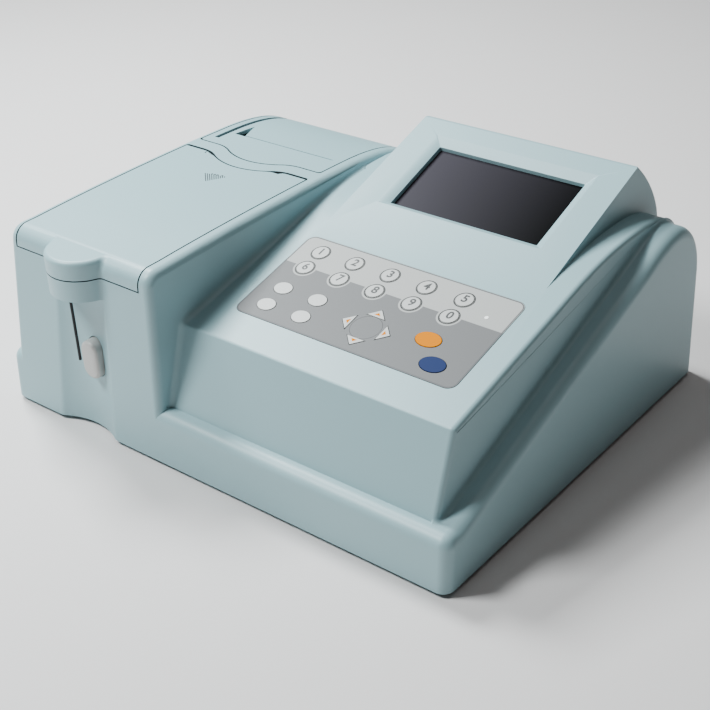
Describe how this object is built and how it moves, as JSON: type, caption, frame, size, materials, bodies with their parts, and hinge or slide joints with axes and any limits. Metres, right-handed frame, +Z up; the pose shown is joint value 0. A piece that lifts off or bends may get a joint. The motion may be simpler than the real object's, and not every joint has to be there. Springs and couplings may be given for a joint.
{
  "type": "benchtop chemistry analyzer",
  "caption": "Benchtop analyzer with a lidded sample bay, printer bay, sloping keypad deck and tilted display; needle and trigger under the front nose.",
  "frame": {"origin": "centre of the footprint, on the bench surface under the rubber feet", "axes": "+Z up, +X to the operator's right, the front with the needle faces -Y"},
  "size_m": [0.36, 0.2982, 0.1549],
  "materials": {
    "case_plastic": "satin moulded plastic, pale blue-grey",
    "sheet_steel": "zinc-plated sheet steel",
    "rubber": "matte rubber",
    "black_plastic": "matte black moulded plastic",
    "circuit_board": "green solder resist",
    "metal_parts": "machined aluminium and plated steel",
    "screen": "dark glossy screen",
    "optical_glass": "clear optical glass",
    "bright_steel": "ground steel pin",
    "dark_needle": "blackened steel tube",
    "silicone_tube": "translucent silicone",
    "white_plastic": "white engineering plastic",
    "button_grey": "warm grey moulded plastic",
    "paper": "white thermal paper",
    "keypad_film": "printed satin film, light and mid grey",
    "key_white": "white satin key",
    "key_orange": "orange satin key",
    "key_navy": "navy satin key"
  },
  "bodies": {
    "case": {"housing": "case_plastic", "bottom_plate": "sheet_steel", "rubber_feet": "rubber", "case_screws": "sheet_steel", "rear_panel": "sheet_steel", "mains_inlet": "black_plastic", "serial_socket": "sheet_steel", "fan_frame": "black_plastic", "power_supply": "circuit_board", "main_board": "circuit_board", "key_board": "circuit_board", "display_window": "screen", "display_module": "metal_parts", "sample_tub": "black_plastic", "cell_block": "black_plastic", "flow_cell": "optical_glass", "lamp_housing": "metal_parts", "lamp": "optical_glass", "filter_motor": "metal_parts", "optics_bracket": "sheet_steel", "detector_board": "circuit_board", "pump_head": "white_plastic", "pump_motor": "metal_parts", "pump_tube": "silicone_tube", "needle": "dark_needle", "sample_tube": "silicone_tube", "trigger_switch": "black_plastic", "printer_frame": "black_plastic", "keypad_panel": "keypad_film"},
    "lid": {"lid": "case_plastic", "lid_hinge_pins": "bright_steel"},
    "printer_cover": {"printer_cover": "case_plastic"},
    "trigger": {"trigger_button": "button_grey"},
    "power_rocker": {"power_rocker": "black_plastic"},
    "fan_rotor": {"fan_rotor": "black_plastic"},
    "filter_wheel": {"filter_wheel": "black_plastic", "optical_filters": "optical_glass"},
    "pump_rotor": {"pump_rotor": "white_plastic"},
    "paper_roll": {"paper_roll": "paper"},
    "platen_roller": {"platen_roller": "rubber"},
    "key_0": {"key_0": "key_white"},
    "key_1": {"key_1": "key_white"},
    "key_2": {"key_2": "key_white"},
    "key_3": {"key_3": "key_white"},
    "key_4": {"key_4": "key_white"},
    "key_5": {"key_5": "key_white"},
    "key_6": {"key_6": "key_white"},
    "key_7": {"key_7": "key_white"},
    "key_8": {"key_8": "key_white"},
    "key_9": {"key_9": "key_white"},
    "function_key_1": {"function_key_1": "key_white"},
    "function_key_2": {"function_key_2": "key_white"},
    "function_key_3": {"function_key_3": "key_white"},
    "function_key_4": {"function_key_4": "key_white"},
    "arrow_key_up": {"arrow_key_up": "key_white"},
    "arrow_key_left": {"arrow_key_left": "key_white"},
    "arrow_key_down": {"arrow_key_down": "key_white"},
    "arrow_key_right": {"arrow_key_right": "key_white"},
    "stop_key": {"stop_key": "key_orange"},
    "enter_key": {"enter_key": "key_navy"}
  },
  "joints": [
    {"name": "lid_hinge", "type": "hinge", "parent": "case", "child": "lid", "pos_m": [-0.1026, 0.02195, 0.13119], "axis": [-1, 0, 0], "range_deg": [0, 95]},
    {"name": "printer_cover_hinge", "type": "hinge", "parent": "case", "child": "printer_cover", "pos_m": [-0.1026, 0.14067, 0.10068], "axis": [-1, 0, 0], "range_deg": [0, 90]},
    {"name": "trigger_press", "type": "slide", "parent": "case", "child": "trigger", "axis": [0, 1, 0], "range_m": [0, 0.004], "stiffness_N_per_m": 250},
    {"name": "power_rocker_tilt", "type": "hinge", "parent": "case", "child": "power_rocker", "pos_m": [0.0615, 0.13931, 0.038], "axis": [-1, 0, 0], "range_deg": [0, 18]},
    {"name": "fan_spin", "type": "hinge", "parent": "case", "child": "fan_rotor", "pos_m": [0.13, 0.13615, 0.04], "axis": [0, 1, 0], "continuous": true},
    {"name": "filter_wheel_spin", "type": "hinge", "parent": "case", "child": "filter_wheel", "pos_m": [-0.0325, -0.04985, 0.069], "axis": [1, 0, 0], "continuous": true},
    {"name": "pump_spin", "type": "hinge", "parent": "case", "child": "pump_rotor", "pos_m": [-0.076, -0.09485, 0.087], "axis": [0, 0, 1], "continuous": true},
    {"name": "paper_roll_spin", "type": "hinge", "parent": "case", "child": "paper_roll", "pos_m": [-0.1026, 0.10415, 0.089], "axis": [1, 0, 0], "continuous": true},
    {"name": "platen_spin", "type": "hinge", "parent": "case", "child": "platen_roller", "pos_m": [-0.1026, 0.06115, 0.1193], "axis": [1, 0, 0], "continuous": true},
    {"name": "key_0_press", "type": "slide", "parent": "case", "child": "key_0", "axis": [0, 0.2346, -0.9721], "range_m": [0, 0.0005], "stiffness_N_per_m": 500},
    {"name": "key_1_press", "type": "slide", "parent": "case", "child": "key_1", "axis": [0, 0.2346, -0.9721], "range_m": [0, 0.0005], "stiffness_N_per_m": 500},
    {"name": "key_2_press", "type": "slide", "parent": "case", "child": "key_2", "axis": [0, 0.2346, -0.9721], "range_m": [0, 0.0005], "stiffness_N_per_m": 500},
    {"name": "key_3_press", "type": "slide", "parent": "case", "child": "key_3", "axis": [0, 0.2346, -0.9721], "range_m": [0, 0.0005], "stiffness_N_per_m": 500},
    {"name": "key_4_press", "type": "slide", "parent": "case", "child": "key_4", "axis": [0, 0.2346, -0.9721], "range_m": [0, 0.0005], "stiffness_N_per_m": 500},
    {"name": "key_5_press", "type": "slide", "parent": "case", "child": "key_5", "axis": [0, 0.2346, -0.9721], "range_m": [0, 0.0005], "stiffness_N_per_m": 500},
    {"name": "key_6_press", "type": "slide", "parent": "case", "child": "key_6", "axis": [0, 0.2346, -0.9721], "range_m": [0, 0.0005], "stiffness_N_per_m": 500},
    {"name": "key_7_press", "type": "slide", "parent": "case", "child": "key_7", "axis": [0, 0.2346, -0.9721], "range_m": [0, 0.0005], "stiffness_N_per_m": 500},
    {"name": "key_8_press", "type": "slide", "parent": "case", "child": "key_8", "axis": [0, 0.2346, -0.9721], "range_m": [0, 0.0005], "stiffness_N_per_m": 500},
    {"name": "key_9_press", "type": "slide", "parent": "case", "child": "key_9", "axis": [0, 0.2346, -0.9721], "range_m": [0, 0.0005], "stiffness_N_per_m": 500},
    {"name": "function_key_1_press", "type": "slide", "parent": "case", "child": "function_key_1", "axis": [0, 0.2346, -0.9721], "range_m": [0, 0.0005], "stiffness_N_per_m": 500},
    {"name": "function_key_2_press", "type": "slide", "parent": "case", "child": "function_key_2", "axis": [0, 0.2346, -0.9721], "range_m": [0, 0.0005], "stiffness_N_per_m": 500},
    {"name": "function_key_3_press", "type": "slide", "parent": "case", "child": "function_key_3", "axis": [0, 0.2346, -0.9721], "range_m": [0, 0.0005], "stiffness_N_per_m": 500},
    {"name": "function_key_4_press", "type": "slide", "parent": "case", "child": "function_key_4", "axis": [0, 0.2346, -0.9721], "range_m": [0, 0.0005], "stiffness_N_per_m": 500},
    {"name": "arrow_key_up_press", "type": "slide", "parent": "case", "child": "arrow_key_up", "axis": [0, 0.2346, -0.9721], "range_m": [0, 0.0005], "stiffness_N_per_m": 500},
    {"name": "arrow_key_left_press", "type": "slide", "parent": "case", "child": "arrow_key_left", "axis": [0, 0.2346, -0.9721], "range_m": [0, 0.0005], "stiffness_N_per_m": 500},
    {"name": "arrow_key_down_press", "type": "slide", "parent": "case", "child": "arrow_key_down", "axis": [0, 0.2346, -0.9721], "range_m": [0, 0.0005], "stiffness_N_per_m": 500},
    {"name": "arrow_key_right_press", "type": "slide", "parent": "case", "child": "arrow_key_right", "axis": [0, 0.2346, -0.9721], "range_m": [0, 0.0005], "stiffness_N_per_m": 500},
    {"name": "stop_key_press", "type": "slide", "parent": "case", "child": "stop_key", "axis": [0, 0.2346, -0.9721], "range_m": [0, 0.0005], "stiffness_N_per_m": 500},
    {"name": "enter_key_press", "type": "slide", "parent": "case", "child": "enter_key", "axis": [0, 0.2346, -0.9721], "range_m": [0, 0.0005], "stiffness_N_per_m": 500}
  ],
  "couplings": [
    {"joint": "paper_roll_spin", "follows": "platen_spin", "ratio": 0.20455}
  ]
}
